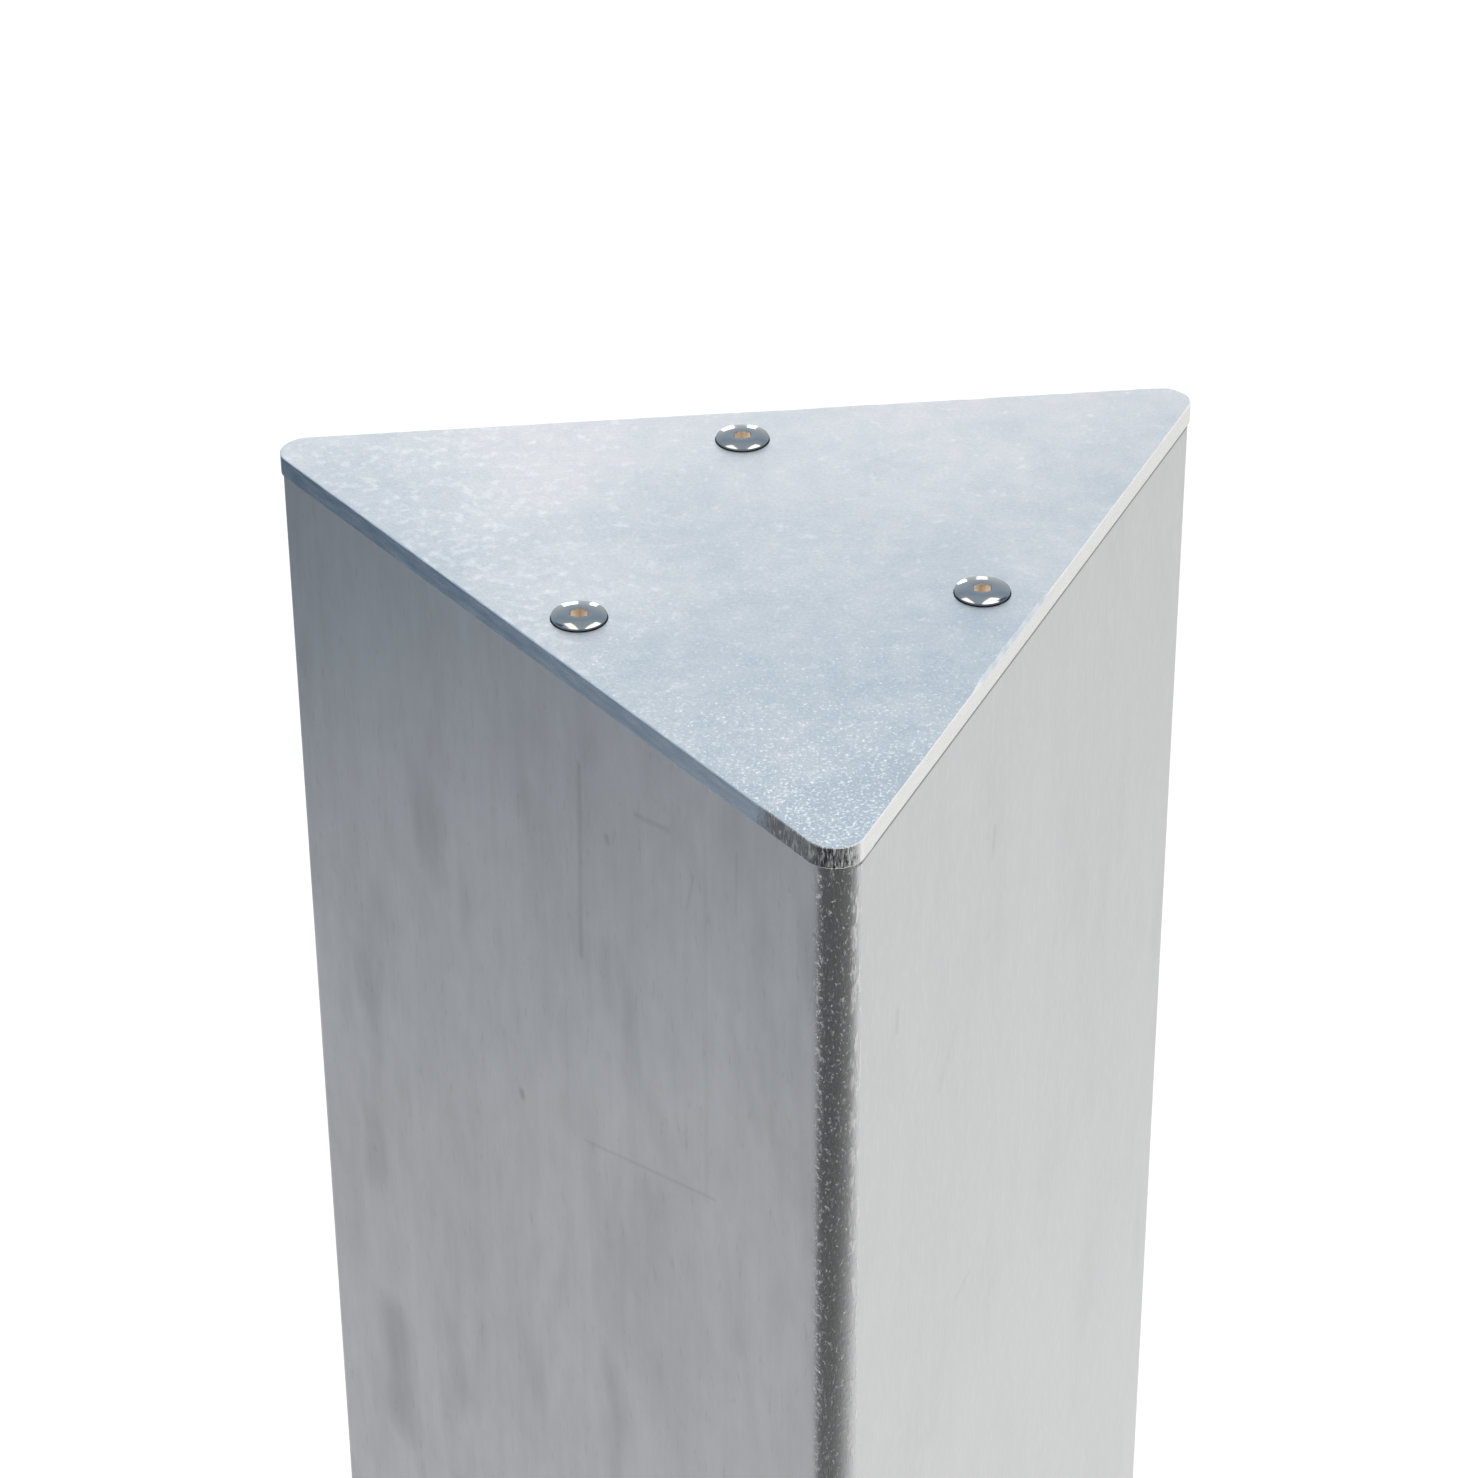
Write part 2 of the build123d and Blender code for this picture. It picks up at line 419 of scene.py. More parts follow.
def two_tones(tree, value, dark, light):
    """A colour between two metals, by a value from 0 to 1. Each is a colour or another such mix."""
    made = add_node(tree, "ShaderNodeMix", data_type="RGBA")
    for slot, tone in ((6, dark), (7, light)):
        if isinstance(tone, tuple):
            made.inputs[slot].default_value = (*tone, 1)
        else:
            link(tree, tone, made.inputs[slot])
    link(tree, value, made.inputs[0])
    return made.outputs[2]


def raise_surface(tree, shader, value, distance):
    bump = add_node(tree, "ShaderNodeBump")
    bump.inputs["Distance"].default_value = distance
    link(tree, value, bump.inputs["Height"])
    link(tree, bump.outputs[0], shader.inputs["Normal"])


def facing(tree, axis, low, high):
    """0 to 1 as the surface turns, by one axis of its own outward direction."""
    return spread(tree, coordinates(tree, "Normal")[axis], low, high, 0, 1)


def near_line(tree, start, end, width, soft):
    """1 on the line between two points and 0 beyond its width, for one scratch or mark."""
    place = add_node(tree, "ShaderNodeTexCoord")
    along = Vector(end) - Vector(start)
    offset = add_node(tree, "ShaderNodeVectorMath", operation="SUBTRACT")
    offset.inputs[1].default_value = start
    link(tree, place.outputs["Object"], offset.inputs[0])
    share = add_node(tree, "ShaderNodeVectorMath", operation="DOT_PRODUCT")
    share.inputs[1].default_value = along / max(along.length_squared, 1e-12)
    link(tree, offset.outputs[0], share.inputs[0])
    held = spread(tree, share.outputs["Value"], 0, 1, 0, 1)
    foot = add_node(tree, "ShaderNodeVectorMath", operation="SCALE")
    foot.inputs[0].default_value = along
    link(tree, held, foot.inputs["Scale"])
    gap = add_node(tree, "ShaderNodeVectorMath", operation="DISTANCE")
    link(tree, offset.outputs[0], gap.inputs[0])
    link(tree, foot.outputs[0], gap.inputs[1])
    return spread(tree, gap.outputs["Value"], width / 2, width / 2 + soft, 1, 0)


def on_face(side, along, down):
    """A point on a flat side, by its distance along the face and below the post's end, in mm."""
    x, y = turned(apothem, along / 1000, FACE_ANGLES[side])
    return (x, y, post_high.z - down / 1000)


post_paint, tree, shader = start_paint("mill_extrusion", (0.6, 0.6, 0.6), 0.36)
wear = spread(tree, facing(tree, "X", 0.75, -0.75), 0, 1, 0.28, 1)  # the left side is the worn one
die_lines = spread(tree, grain(tree, 850, 2, 0.6, (1, 1, 0.02)), 0.3, 0.7, -1, 1)
streaks = spread(tree, grain(tree, 150, 3, 0.6, (1, 1, 0.12)), 0.3, 0.7, -1, 1)
clouds = spread(tree, grain(tree, 26, 3, 0.6, (1, 1, 0.6)), 0.3, 0.7, -1, 1)
smudges = spread(tree, grain(tree, 62, 2, 0.5, (1, 1, 0.4)), 0.56, 0.7, 0, -1)
dashes = spread(tree, grain(tree, 780, 2, 0.6, (1, 1, 0.28)), 0.62, 0.72, 0, -1)
blotches = spread(tree, grain(tree, 170, 3, 0.6, (1, 1, 0.5)), 0.3, 0.7, -1, 1)
level_tone = add_shares(
    tree,
    combine(tree, "MULTIPLY", die_lines, 0.05),
    (streaks, 0.13),
    (clouds, 0.24),
    (smudges, 0.5),
    (dashes, 0.34),
    (blotches, 0.16),
)
level_tone = combine(tree, "MULTIPLY", level_tone, wear)
for side, start, end, width, soft, depth in (
    ("left", (14.3, 15.5), (13.1, 56.6), 0.3, 1.0, 0.6),
    ("left", (12.6, 98.6), (53.6, 87.0), 0.1, 0.5, 0.5),
    ("left", (-8.4, 100.0), (-8.2, 100.6), 0.8, 0.9, 1.0),
    ("left", (31.3, 17.1), (41.1, 15.1), 0.2, 0.8, 0.5),
    ("left", (22.4, 26.4), (22.5, 27.2), 0.7, 0.8, 0.7),
    ("left", (51.9, 13.5), (51.2, 88.6), 0.2, 1.0, 0.22),
    ("left", (-59.5, 190), (-59.3, 214), 5.0, 6.0, 0.8),
    ("left", (48.4, 20.6), (46.3, 28.5), 0.2, 0.5, 0.35),
    ("left", (61.0, 9.5), (60.6, 22.0), 0.2, 0.5, 0.3),
    ("right", (-18.8, 31.9), (-19.5, 37.3), 0.5, 0.7, 0.35),
    ("right", (-65.1, 41.7), (-64.9, 45.6), 0.9, 0.7, 0.4),
    ("right", (-36.7, 64.2), (-43.6, 71.7), 0.9, 1.4, 0.18),
    ("right", (-25.8, 126.8), (-33.4, 128.3), 0.5, 0.8, 0.25),
    ("right", (-20.9, 53.5), (-20.8, 54.0), 0.9, 0.9, 0.2),
    ("left", (82.3, 14.3), (83.5, 14.6), 0.3, 0.4, 1.6),
    ("back", (-31.0, 40.0), (-28.0, 96.0), 0.2, 0.5, 0.4),
    ("back", (22.0, 210.0), (44.0, 228.0), 0.2, 0.5, 0.4),
):
    mark = near_line(tree, on_face(side, *start), on_face(side, *end), width / 1000, soft / 1000)
    level_tone = combine(tree, "SUBTRACT", level_tone, combine(tree, "MULTIPLY", mark, depth))
tone = spread(tree, level_tone, -1, 1, 0, 1)
rolled_metal = two_tones(tree, tone, (0.47, 0.472, 0.478), (0.725, 0.727, 0.73))

# On the rounded corners the mill skin is rubbed through in specks, and short bright dashes are painted
# highlights where they turn into the right-hand faces. A fine dark line of painted shadow lies under the
# cap's overhang.
on_corner = facing(tree, "Y", -0.56, -0.75)
specks = spread(tree, grain(tree, 2000, 3, 0.65, (1, 1, 0.6)), 0.59, 0.71, 0, 1)
left_turn = combine(tree, "MULTIPLY", facing(tree, "X", -0.80, -0.70), facing(tree, "X", -0.45, -0.55))
nicks = spread(tree, grain(tree, 1500, 2, 0.6, (1, 1, 0.8)), 0.56, 0.64, 0, 1)
turn_in = combine(tree, "MULTIPLY", facing(tree, "X", 0.38, 0.6), facing(tree, "X", 0.868, 0.85))
# Painted highlights: short bright dashes where the corners turn into the right-hand faces.
glints = spread(tree, grain(tree, 800, 2, 0.55, (1, 1, 0.35)), 0.50, 0.62, 0, 1)
# The rubbed-through specks and nicks are wear; the dashes mixed in with them are painted highlights.
rubbed_and_glints = add_shares(
    tree,
    combine(tree, "MULTIPLY", combine(tree, "MULTIPLY", specks, on_corner), 0.5),
    (combine(tree, "MULTIPLY", left_turn, nicks), 0.5),
    (combine(tree, "MULTIPLY", turn_in, glints), 0.8),
)
bright = two_tones(tree, rubbed_and_glints, rolled_metal, (0.97, 0.955, 0.93))
# Painted shadow: a thin dark band just under the cap's overhang, on the right-hand faces.
shadow_line_low = post_high.z - 0.00125
shadow_line_high = post_high.z - 0.00095
painted_shadow_under_cap = spread(tree, coordinates(tree)["Z"], shadow_line_low, shadow_line_high, 0, 0.85)
painted_shadow_under_cap = combine(tree, "MULTIPLY", painted_shadow_under_cap, facing(tree, "X", 0.55, 0.8))
link(tree, two_tones(tree, painted_shadow_under_cap, bright, (0.12, 0.12, 0.13)), shader.inputs["Base Color"])
plain_rough = spread(tree, level_tone, -1, 1, 0.40, 0.31)
link(tree, add_shares(tree, plain_rough, (rubbed_and_glints, 0.45)), shader.inputs["Roughness"])
pits = grain(tree, 1900, 2, 0.6, (1, 1, 0.5))
raise_surface(tree, shader, add_shares(tree, pits, (die_lines, 0.06), (rubbed_and_glints, 2.0)), 0.00003)

work = bmesh.new()
END_BREAK = 0.00004
outer = triangle_outline(apothem, CORNER, 36, 12)
outer_end = triangle_outline(apothem - END_BREAK, CORNER - END_BREAK, 36, 12)
heights = [post_low.z + END_BREAK]
heights += [post_low.z + (post_high.z - post_low.z) * i / 24 for i in range(1, 24)]
heights += [post_high.z - END_BREAK]
rings = [add_ring(work, outer_end, post_low.z)]
rings += [add_ring(work, outer, z) for z in heights]
rings += [add_ring(work, outer_end, post_high.z)]
for lower, upper in zip(rings, rings[1:]):
    join_rings(work, lower, upper)
hollow = hollow_outline(BORE)
foot_hollow = hollow_outline(FOOT_BORE)
inner = [
    add_ring(work, foot_hollow, post_low.z),
    add_ring(work, foot_hollow, FOOT_BORE_TOP),
    add_ring(work, hollow, FOOT_BORE_TOP),
    add_ring(work, hollow, post_high.z),
]
for lower, upper in zip(inner, inner[1:]):
    join_rings(work, lower, upper, inward=True)
close_end(work, [rings[-1], inner[-1]])
close_end(work, [rings[0], inner[0]], up=False)
finish_piece(work, "post_extrusion", "post", [post_paint])


# ---------------------------------------------------------------- cap plate
# A 4 mm aluminium plate cut from rolled sheet, lying on the post's end with a slight overhang. Its
# face is grainy with bright flecks, its cut edges are bare, and the front corner has been linished.
CAP_CORNER = 0.0054
CAP_HOLE = 0.00275
COUNTERSINK = 0.00515  # radius at the plate's face
cap_side = cap_high.y

cap_face, tree, shader = start_paint("rolled_sheet", (0.66, 0.68, 0.7), 0.42)
place = coordinates(tree)
# Darker towards the front corner and at the far left, lighter towards the back and just left of the middle.
tone_by_place = add_shares(
    tree,
    spread(tree, place["Y"], -0.105, 0.045, -1.15, 0.35),
    (spread(tree, place["X"], 0.005, -0.045, 0, 1), 0.4),
    (spread(tree, place["Y"], 0.012, 0.045, 0, 1), 0.35),
    (spread(tree, place["X"], -0.045, -0.075, 0, 1), -0.7),
)
haze = spread(tree, grain(tree, 38, 4, 0.62), 0.3, 0.7, -1, 1)
blur = spread(tree, grain(tree, 210, 3, 0.6), 0.3, 0.7, -1, 1)
tooth = spread(tree, grain(tree, 1500, 2, 0.6), 0.3, 0.7, -1, 1)
level_tone = add_shares(tree, tone_by_place, (haze, 0.42), (blur, 0.28), (tooth, 0.4))
sheet_tone = spread(tree, level_tone, -1.3, 1.3, 0, 1)
sheet_metal = two_tones(tree, sheet_tone, (0.335, 0.403, 0.457), (0.582, 0.593, 0.61))
near_front = spread(tree, place["Y"], -0.03, -0.092, 0, 0.10)
fine = combine(tree, "ADD", grain(tree, 1900, 3, 0.65), near_front)
fine_flecks = spread(tree, fine, 0.62, 0.76, 0, 1)
fine_flecks = combine(tree, "MULTIPLY", fine_flecks, spread(tree, place["Y"], 0.02, -0.03, 0.2, 1))
left_part = spread(tree, place["X"], -0.005, -0.05, -0.05, 0.06)
coarse = combine(tree, "ADD", grain(tree, 480, 2, 0.5), left_part)
coarse_flecks = spread(tree, coarse, 0.56, 0.84, 0, 1)
sparkle = add_shares(tree, combine(tree, "MULTIPLY", fine_flecks, 0.5), (coarse_flecks, 0.24))
link(tree, two_tones(tree, sparkle, sheet_metal, (1.0, 1.0, 1.0)), shader.inputs["Base Color"])
link(tree, spread(tree, level_tone, -1.3, 1.3, 0.38, 0.46), shader.inputs["Roughness"])
raise_surface(tree, shader, add_shares(tree, tooth, (sparkle, 2.0)), 0.00001)

SPOT = Vector((-0.0047, -0.0925, 0))  # where the left edge meets the front corner
ALONG = Vector((-0.5, 0.866, 0))  # from there along the left edge

cap_edge, tree, shader = start_paint("cut_edge", (0.7, 0.7, 0.7), 0.3)
place = coordinates(tree)
ragged = combine(tree, "MULTIPLY", grain(tree, 1100, 3, 0.6), 0.007)
linished = spread(tree, combine(tree, "ADD", place["Y"], ragged), -0.0805, -0.0845, 0, 1)
linished = combine(tree, "MULTIPLY", linished, spread(tree, place["X"], 0.0042, 0.0022, 0, 1))
strokes = spread(tree, grain(tree, 3000, 3, 0.7, (1, 1, 0.18)), 0.36, 0.66, 0, 1)
cut = spread(tree, grain(tree, 150, 2, 0.5, (1, 1, 6)), 0.3, 0.7, 0, 1)
# Painted light and shade: the cut edge is light where it faces right and a darker blue-grey where it faces
# left.
lit_edge_metal = two_tones(tree, cut, (0.76, 0.76, 0.755), (0.81, 0.81, 0.80))
shaded_edge_metal = two_tones(tree, cut, (0.35, 0.43, 0.51), (0.48, 0.55, 0.62))
lit_and_shaded_cut_metal = two_tones(tree, facing(tree, "X", 0.0, 0.6), shaded_edge_metal, lit_edge_metal)
# Painted light and shade: the linished corner is brighter where it faces right and darker where it faces
# left, over its polishing strokes.
polish_and_side_light = combine(tree, "ADD", strokes, spread(tree, facing(tree, "X", -0.6, 0.75), 0, 1, -0.45, 0.6))
polish_and_side_light = spread(tree, polish_and_side_light, 0, 1, 0, 1)
linished_lit_and_shaded_metal = two_tones(tree, polish_and_side_light, (0.22, 0.225, 0.23), (0.95, 0.95, 0.94))
rub_start = SPOT + 0.0062 * ALONG + Vector((0, 0, cap_low.z + 0.0006))
rub_end = SPOT + 0.0100 * ALONG + Vector((0, 0, cap_low.z + 0.0010))
rub = near_line(tree, rub_start, rub_end, 0.0009, 0.0003)
edge_metal = two_tones(tree, linished, lit_and_shaded_cut_metal, linished_lit_and_shaded_metal)
link(tree, two_tones(tree, rub, edge_metal, (0.97, 0.96, 0.95)), shader.inputs["Base Color"])
cut_strokes = combine(tree, "MULTIPLY", strokes, linished)
edge_rough = add_shares(tree, spread(tree, cut, 0, 1, 0.2, 0.3), (rub, 0.5), (cut_strokes, 0.4))
link(tree, edge_rough, shader.inputs["Roughness"])
raise_surface(tree, shader, add_shares(tree, cut_strokes, (cut, 0.02)), 0.00004)


def edge_wear(x, y):
    """How much further the top edge is worn back at a place, in metres."""
    place = Vector((x, y, 0))
    rub = 0.5 + noise.noise(place * 420) * 0.9 + noise.noise(place * 1300) * 0.5
    wear = 0.00010 * max(0.0, rub)
    ax, ay, bx, by = 0.0343, -0.054, 0.0474, -0.0248  # a filed stretch on the right edge
    share = ((x - ax) * (bx - ax) + (y - ay) * (by - ay)) / ((bx - ax) ** 2 + (by - ay) ** 2)
    if x > 0 and -0.08 < share < 1.08:
        inside = min(1.0, (share + 0.08) / 0.12, (1.08 - share) / 0.12)
        wear += 0.0007 * inside * (0.75 + 0.6 * noise.noise(Vector((x, y, 3.0)) * 260))
    if x > 0 and y > 0.03:
        wear += 0.00035 * max(0.0, 0.3 + noise.noise(Vector((x, y, 7.0)) * 300))
    return wear


work = bmesh.new()
FIRST_WORN_RING = 4  # this ring is worn down, and the one above it inwards
plate_levels = [  # heights, and how far in from the side: both edges are slightly broken
    (cap_low.z, 0.00004),
    (cap_low.z + 0.00006, 0.0),
    (cap_low.z + 0.0013, 0.0),
    (cap_low.z + 0.0026, 0.0),
    (cap_high.z - 0.00016, 0.0),
    (cap_high.z, 0.00012),
]
cap_rings = []
for z, inset in plate_levels:
    outline = triangle_outline(cap_side - inset, CAP_CORNER - inset, 44, 170)
    cap_rings.append(add_ring(work, outline, z))
for lower, upper in zip(cap_rings, cap_rings[1:]):
    join_rings(work, lower, upper, paint=1)
for row, ring in enumerate(cap_rings):
    for vert in ring:
        x, y = vert.co.x, vert.co.y
        reach = math.hypot(x, y)
        if row >= FIRST_WORN_RING:
            wear = edge_wear(x, y)
            if row > FIRST_WORN_RING:
                vert.co.x -= wear * x / reach
                vert.co.y -= wear * y / reach
            else:
                vert.co.z -= wear * 0.55
        elif row == 0 and y < -0.093:  # the linishing burr under the front corner
            burr = 0.00012 * (1 + noise.noise(Vector((x, y, 1.0)) * 900))
            vert.co.x += burr * x / reach
            vert.co.y += burr * y / reach


def cone_hole(work, angle, levels, steps=72, paint=0):
    """A round hole through a plate at a port's place, from a list of heights and radii, low to high."""
    x, y = turned(port_from_axis, 0, angle)
    rings = [add_ring(work, arc(x, y, radius, 0, 360 - 360 / steps, steps - 1), z) for z, radius in levels]
    for lower, upper in zip(rings, rings[1:]):
        join_rings(work, lower, upper, paint, inward=True)
    return rings[0], rings[-1]


hole_ends = []
for angle in FACE_ANGLES.values():
    hole_ends.append(
        cone_hole(
            work,
            angle,
            [
                (cap_low.z, CAP_HOLE),
                (cap_high.z - (COUNTERSINK - CAP_HOLE), CAP_HOLE),
                (cap_high.z - 0.00006, COUNTERSINK - 0.00006),
                (cap_high.z, COUNTERSINK + 0.00006),
            ],
            paint=2,
        )
    )
close_end(work, [cap_rings[-1]] + [high for low, high in hole_ends])
close_end(work, [cap_rings[0]] + [low for low, high in hole_ends], up=False)

# Painted shade: the countersinks are dark metal, standing for the shade in the gap round each screw head,
# with fine turning chatter.
countersink_shade_paint, tree, shader = start_paint("countersink_painted_shade", (0.3, 0.32, 0.34), 0.3)
chatter = spread(tree, grain(tree, 900, 2, 0.5), 0.3, 0.7, 0, 1)
link(tree, two_tones(tree, chatter, (0.22, 0.25, 0.28), (0.42, 0.44, 0.46)), shader.inputs["Base Color"])
link(tree, spread(tree, chatter, 0, 1, 0.24, 0.34), shader.inputs["Roughness"])
raise_surface(tree, shader, chatter, 0.00001)
finish_piece(work, "cap_plate_sheet", "cap_plate", [cap_face, cap_edge, countersink_shade_paint])


# ---------------------------------------------------------------- cap screws
# Three stainless countersunk screws with hexagon sockets, driven into the post's ports. The polished
# heads are level in the middle and roll down to rims half a millimetre proud of the plate.
CAP_HEAD = 0.005
HEAD_LAND = 0.00035
CAP_HEAD_RISE = 0.0005
cap_rim = cap_high.z + 0.0005

screw_paint, tree, shader = start_paint("polished_stainless", (0.26, 0.28, 0.3), 0.07)
smears = grain(tree, 500, 3, 0.6)
link(tree, two_tones(tree, smears, (0.215, 0.24, 0.262), (0.25, 0.275, 0.295)), shader.inputs["Base Color"])
link(tree, spread(tree, smears, 0.3, 0.7, 0.05, 0.10), shader.inputs["Roughness"])
raise_surface(tree, shader, smears, 0.000002)

# Painted reflection: the socket walls are a light cream metal, much lighter than the head, standing for the
# lamps they reflect, with fine broaching marks.
socket_reflection_paint, tree, shader = start_paint("socket_painted_reflection", (0.9, 0.8, 0.68), 0.5)
broach = spread(tree, grain(tree, 1400, 2, 0.6, (1, 1, 0.1)), 0.3, 0.7, 0, 1)
link(tree, two_tones(tree, broach, (0.82, 0.71, 0.59), (0.98, 0.90, 0.80)), shader.inputs["Base Color"])
link(tree, spread(tree, broach, 0, 1, 0.3, 0.45), shader.inputs["Roughness"])
raise_surface(tree, shader, broach, 0.00001)


def hexagon_reach(across, angle):
    """How far a hexagon with that width across its flats reaches at an angle in degrees."""
    return across / 2 / math.cos(math.radians((angle + 30) % 60 - 30))


def make_screw(place, facing_up, turn, head, land, shank, crown, socket, socket_depth, length, pitch):
    """A countersunk socket screw. The rim of its head is at the place, and it faces up or down.

    Sizes are in metres. The head and the shank are radii, and the socket is across its flats.
    """
    work = bmesh.new()
    steps = 72
    angles = [360 * i / steps for i in range(steps)]
    flat = head * 0.4  # radius of the head's level middle
    mouth_out = 0.0001  # the socket's mouth is broken by this much outwards
    mouth_down = 0.00012
    groove_depth = pitch * 0.54

    def ring(radius_at, height_at):
        made = []
        for a in angles:
            radius = radius_at(a)
            x, y = radius * math.cos(math.radians(a)), radius * math.sin(math.radians(a))
            made.append(work.verts.new((x, y, height_at(radius))))
        return made

    def top(radius):
        """The head's face: level round the socket, rolling down to the rim."""
        return crown * (1 - (max(0.0, radius - flat) / (head - flat)) ** 2)

    def groove(a, z):
        """The thread's radius: a helical groove that starts gently under the head."""
        wave = abs(((z / pitch) - a / 360) % 1.0 - 0.5) * 2
        return shank - groove_depth * min(1.0, (thread_top - z) / pitch) * (1 - wave)

    drill = socket / 2 * 0.58
    centre = work.verts.new((0, 0, crown - socket_depth - drill))
    rows = [
        ring(lambda a: socket * 0.2, lambda r: crown - socket_depth - drill * (1 - r / (socket / 2))),
        ring(lambda a: socket / 2 * 0.98, lambda r: crown - socket_depth),
        ring(lambda a: hexagon_reach(socket, a), lambda r: crown - socket_depth),
        ring(lambda a: hexagon_reach(socket, a), lambda r: crown - mouth_down),
        ring(lambda a: hexagon_reach(socket, a) + mouth_out, lambda r: crown),
    ]
    for i in range(steps):
        bottom = work.faces.new((centre, rows[0][i], rows[0][(i + 1) % steps]))
        bottom.smooth = True
        bottom.material_index = 1
    for share in (0.35, 0.7):
        rows.append(ring(lambda a: (hexagon_reach(socket, a) + mouth_out) * (1 - share) + flat * share, top))
    for i in range(13):
        rows.append(ring(lambda a: flat + (head - flat) * i / 12, top))
    rows.append(ring(lambda a: head, lambda r: -land))
    rows.append(ring(lambda a: shank, lambda r: -land - (head - shank)))
    thread_top = -land - (head - shank) - pitch
    rows.append(ring(lambda a: shank, lambda r: thread_top))
    thread_end = -length + groove_depth
    count = int((thread_top - thread_end) / (pitch / 6))
    for j in range(1, count):
        z = thread_top - (thread_top - thread_end) * j / count
        rows.append(ring(lambda a: groove(a, z), lambda r: z))
    rows.append(ring(lambda a: shank - groove_depth, lambda r: -length + groove_depth / 2))
    rows.append(ring(lambda a: (shank - groove_depth) * 0.8, lambda r: -length))
    for row, (upper, lower) in enumerate(zip(rows, rows[1:])):
        join_rings(work, upper, lower, paint=1 if row < 3 else 0)
    tip = work.verts.new((0, 0, -length))
    for i in range(steps):
        work.faces.new((rows[-1][i], tip, rows[-1][(i + 1) % steps])).smooth = True
    bmesh.ops.recalc_face_normals(work, faces=work.faces)
    spin = Matrix.Rotation(math.radians(turn), 4, "Z")
    flip = Matrix.Identity(4) if facing_up else Matrix.Rotation(math.pi, 4, "X")
    bmesh.ops.transform(work, matrix=Matrix.Translation(place) @ flip @ spin, verts=work.verts)
    return work


SOCKET_TURNS = {"back": -3.0, "left": -9.0, "right": -5.0}
SCREW_SHARP = 28  # degrees above which a screw's edge is sharp
cap_screw_sizes = dict(
    head=CAP_HEAD,
    land=HEAD_LAND,
    shank=0.00245,
    crown=CAP_HEAD_RISE,
    socket=0.003,
    socket_depth=0.0022,
    length=0.016,
    pitch=0.0008,
)
for side, angle in FACE_ANGLES.items():
    x, y = turned(port_from_axis, 0, angle)
    work = make_screw(Vector((x, y, cap_rim)), True, SOCKET_TURNS[side], **cap_screw_sizes)
    paints = [screw_paint, socket_reflection_paint]
    name = "socket_screw_" + side
    finish_piece(work, name, "cap_screw_" + side, paints, SCREW_SHARP)


# ---------------------------------------------------------------- foot plate
# A 12 mm aluminium plate under the post, sawn and milled round its outline, with a broken upper edge
# and one anchor hole in each corner. Countersinks in its underside take the screws that hold the post.
FOOT_CORNER = 0.030
ANCHOR_HOLE = 0.007
FOOT_HEAD = 0.008
FOOT_HOLE = 0.00425
foot_low, foot_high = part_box("foot_plate")
foot_side = foot_high.y

foot_face, tree, shader = start_paint("foot_rolled_face", (0.62, 0.63, 0.645), 0.45)
mottle = grain(tree, 40, 4, 0.6)
rolled = grain(tree, 700, 3, 0.6, (0.05, 1, 1))
link(tree, two_tones(tree, mottle, (0.57, 0.58, 0.60), (0.67, 0.68, 0.69)), shader.inputs["Base Color"])
link(tree, spread(tree, mottle, 0.3, 0.7, 0.38, 0.5), shader.inputs["Roughness"])
raise_surface(tree, shader, rolled, 0.000008)

foot_edge, tree, shader = start_paint("foot_milled_edge", (0.62, 0.63, 0.645), 0.36)
strokes = grain(tree, 900, 3, 0.6, (1, 1, 0.08))
link(tree, two_tones(tree, strokes, (0.54, 0.55, 0.565), (0.68, 0.685, 0.69)), shader.inputs["Base Color"])
link(tree, spread(tree, strokes, 0.3, 0.7, 0.3, 0.42), shader.inputs["Roughness"])
raise_surface(tree, shader, strokes, 0.00005)

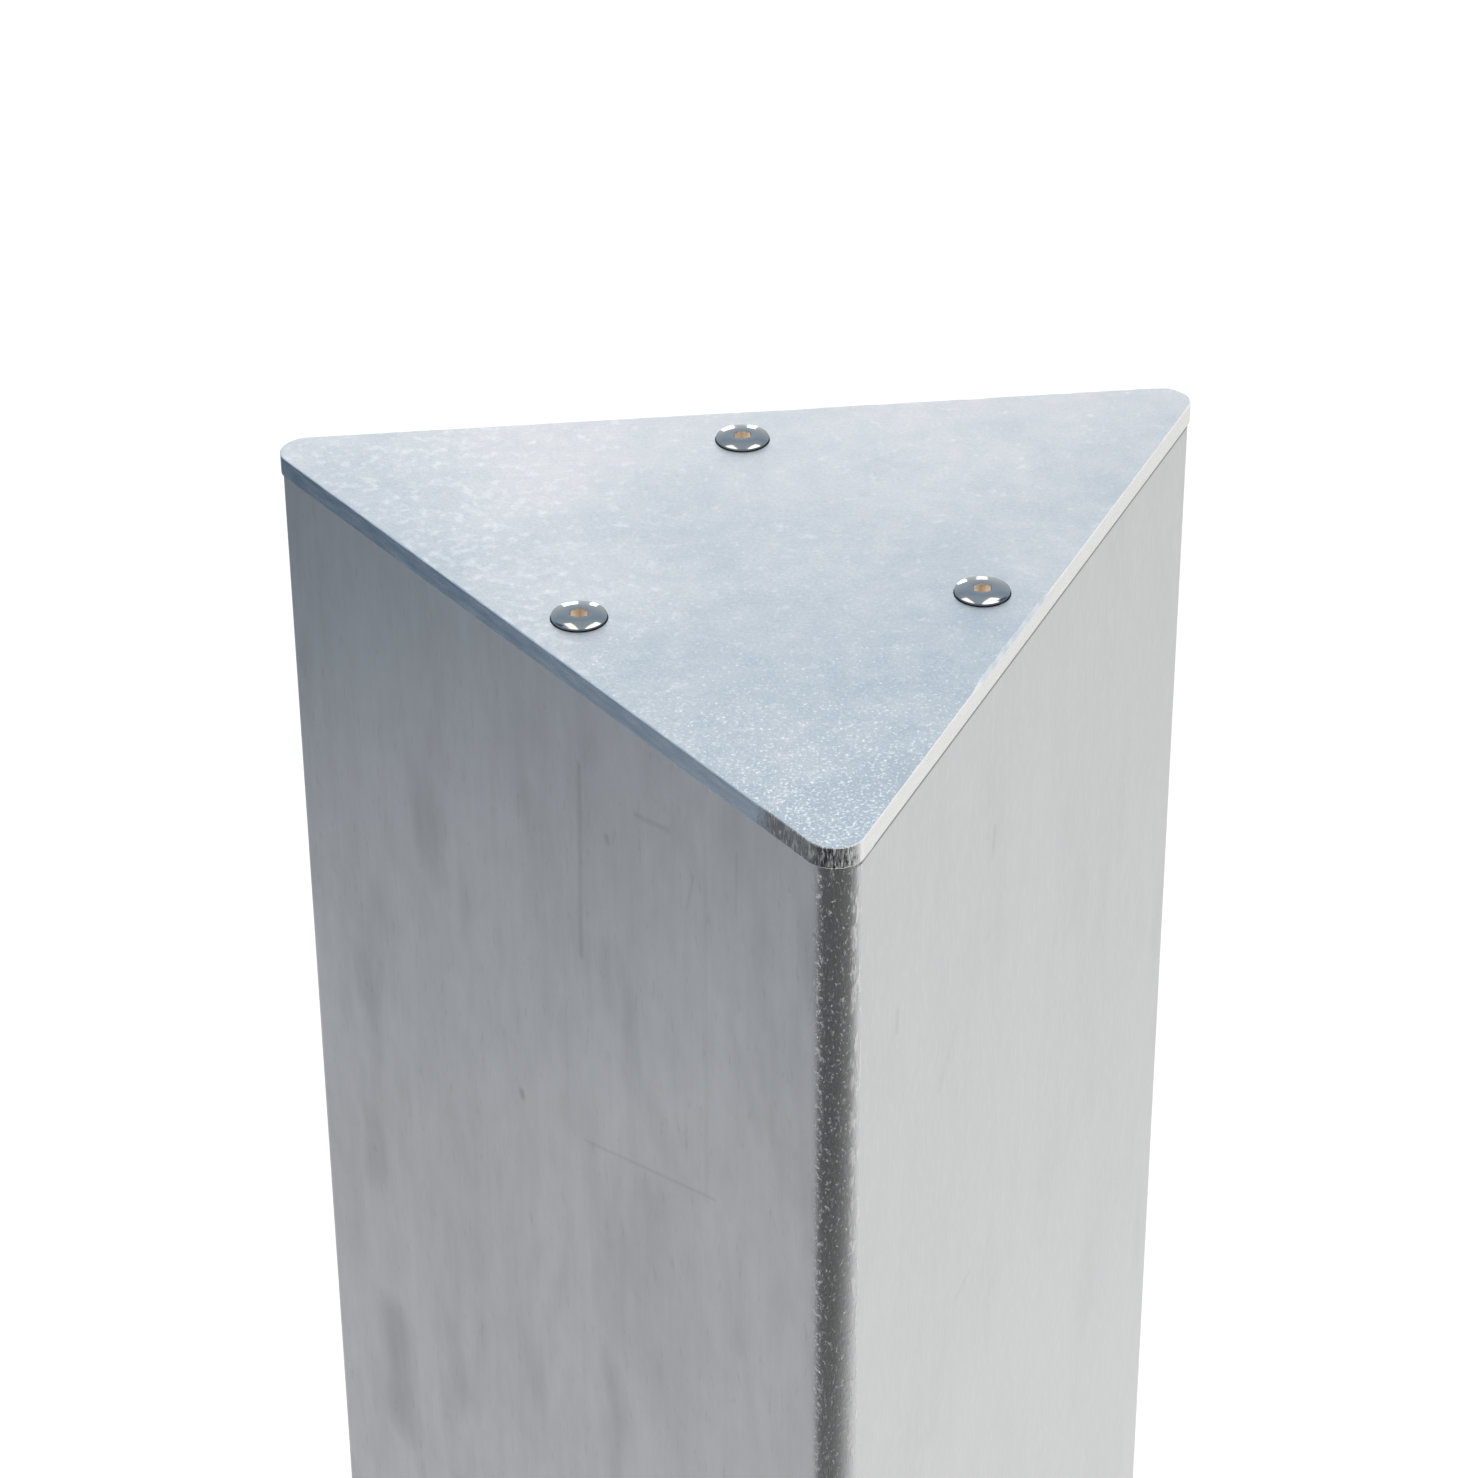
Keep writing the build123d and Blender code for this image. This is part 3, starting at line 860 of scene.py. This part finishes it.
work = bmesh.new()
FOOT_BREAK = 0.0005
foot_levels = [  # heights, and how far in from the side
    (foot_low.z, FOOT_BREAK),
    (foot_low.z + FOOT_BREAK, 0.0),
    (foot_high.z - 0.001, 0.0),
    (foot_high.z - 0.00025, 0.00075),
    (foot_high.z, 0.0011),
]
foot_rings = []
for z, inset in foot_levels:
    outline = triangle_outline(foot_side - inset, FOOT_CORNER - inset, 48, 24)
    foot_rings.append(add_ring(work, outline, z))
for lower, upper in zip(foot_rings, foot_rings[1:]):
    join_rings(work, lower, upper, paint=1)
low_ends, high_ends = [foot_rings[0]], [foot_rings[-1]]
anchor_from_axis = 2 * (foot_side - FOOT_CORNER)
for angle in (30, 150, 270):
    x, y = turned(anchor_from_axis, 0, angle)
    rings = [
        add_ring(work, arc(x, y, radius, 0, 355, 71), z)
        for z, radius in (
            (foot_low.z, ANCHOR_HOLE + FOOT_BREAK),
            (foot_low.z + FOOT_BREAK, ANCHOR_HOLE),
            (foot_high.z - FOOT_BREAK, ANCHOR_HOLE),
            (foot_high.z, ANCHOR_HOLE + FOOT_BREAK),
        )
    ]
    for lower, upper in zip(rings, rings[1:]):
        join_rings(work, lower, upper, 1, inward=True)
    low_ends.append(rings[0])
    high_ends.append(rings[-1])
FOOT_SCREW_SUNK = 0.0005
wall_top = foot_low.z + FOOT_SCREW_SUNK + HEAD_LAND
for angle in FACE_ANGLES.values():
    low, high = cone_hole(
        work,
        angle,
        [
            (foot_low.z, FOOT_HEAD),
            (wall_top, FOOT_HEAD),
            (wall_top + FOOT_HEAD - FOOT_HOLE, FOOT_HOLE),
            (foot_high.z, FOOT_HOLE),
        ],
        paint=1,
    )
    low_ends.append(low)
    high_ends.append(high)
close_end(work, high_ends)
close_end(work, low_ends, up=False)
finish_piece(work, "foot_plate_sheet", "foot_plate", [foot_face, foot_edge])


# ---------------------------------------------------------------- foot screws
# Three zinc-plated steel countersunk screws with hexagon sockets. They come up through the foot plate
# into the post's opened-out ports, and their heads stay just inside the plate's underside.
zinc_paint, tree, shader = start_paint("zinc_plated_steel", (0.55, 0.56, 0.57), 0.3)
bloom = grain(tree, 700, 3, 0.6)
link(tree, two_tones(tree, bloom, (0.48, 0.49, 0.50), (0.60, 0.61, 0.62)), shader.inputs["Base Color"])
link(tree, spread(tree, bloom, 0.3, 0.7, 0.24, 0.38), shader.inputs["Roughness"])
raise_surface(tree, shader, bloom, 0.00001)

foot_screw_sizes = dict(
    head=FOOT_HEAD,
    land=HEAD_LAND,
    shank=0.00395,
    crown=0.00001,
    socket=0.005,
    socket_depth=0.0032,
    length=0.045,
    pitch=0.00125,
)
for side, angle in FACE_ANGLES.items():
    x, y = turned(port_from_axis, 0, angle)
    place = Vector((x, y, foot_low.z + FOOT_SCREW_SUNK))
    work = make_screw(place, False, SOCKET_TURNS[side], **foot_screw_sizes)
    paints = [zinc_paint, zinc_paint]
    name = "foot_socket_screw_" + side
    finish_piece(work, name, "foot_screw_" + side, paints, SCREW_SHARP)
